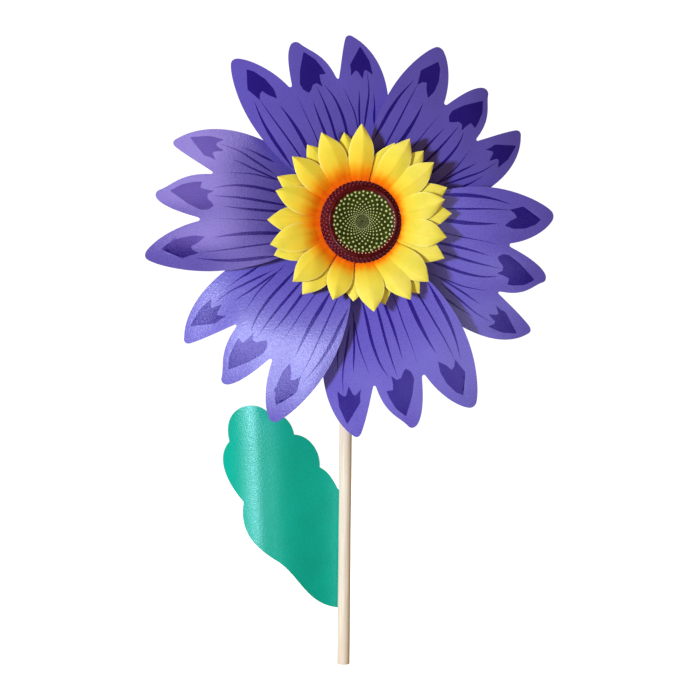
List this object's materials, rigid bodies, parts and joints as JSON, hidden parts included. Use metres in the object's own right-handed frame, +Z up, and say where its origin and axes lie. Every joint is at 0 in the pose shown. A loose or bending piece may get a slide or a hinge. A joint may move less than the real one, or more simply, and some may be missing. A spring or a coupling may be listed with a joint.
{
  "type": "wind spinner",
  "caption": "Pinwheel of lapped, printed film vanes with an artificial sunflower head, turning on a pin through a wooden stick that carries a scalloped film leaf.",
  "frame": {"origin": "centre of the flat end at the bottom of the stick, which goes in the ground", "axes": "+Z up along the stick, -Y the way the flower faces, +X to the viewer's right when facing the flower; the wheel's axle runs along Y"},
  "size_m": [0.3909, 0.0904, 0.5976],
  "materials": {
    "stick_wood": "sanded, unvarnished pale birch",
    "pin_steel": "zinc-bright wire and washers",
    "cap_plastic": "moulded black",
    "hub_plastic": "moulded off-white",
    "bush_nylon": "natural nylon",
    "vane_film": "satin violet film with darker printed veins and tips",
    "calyx_plastic": "moulded leaf green",
    "petal_foam": "soft foam sheet, yellow with an orange base and pale cut edges",
    "dome_plastic": "glossy moulded seeds, red-brown rim and green face",
    "leaf_film": "satin teal film with a fine sparkle"
  },
  "bodies": {
    "stand": {"stick": "stick_wood", "axle_pin": "pin_steel", "rear_washer": "pin_steel", "rear_cap": "cap_plastic", "spacer_sleeve": "hub_plastic", "thrust_washer": "pin_steel", "head_washer": "pin_steel", "leaf": "leaf_film", "leaf_staple_lower": "pin_steel", "leaf_staple_upper": "pin_steel"},
    "wheel": {"hub_bush": "bush_nylon", "hub_plate": "hub_plastic", "clamp_plate": "hub_plastic", "vane_1": "vane_film", "vane_2": "vane_film", "vane_3": "vane_film", "vane_4": "vane_film", "vane_5": "vane_film", "vane_6": "vane_film", "calyx_cup": "calyx_plastic", "post_clip": "pin_steel", "dome_post": "cap_plastic", "seed_dome": "dome_plastic", "petals_rear": "petal_foam", "petals_front": "petal_foam"}
  },
  "joints": [
    {"name": "wheel_spin", "type": "hinge", "parent": "stand", "child": "wheel", "pos_m": [0, -0.042, 0.4204], "axis": [0, -1, 0], "continuous": true}
  ]
}
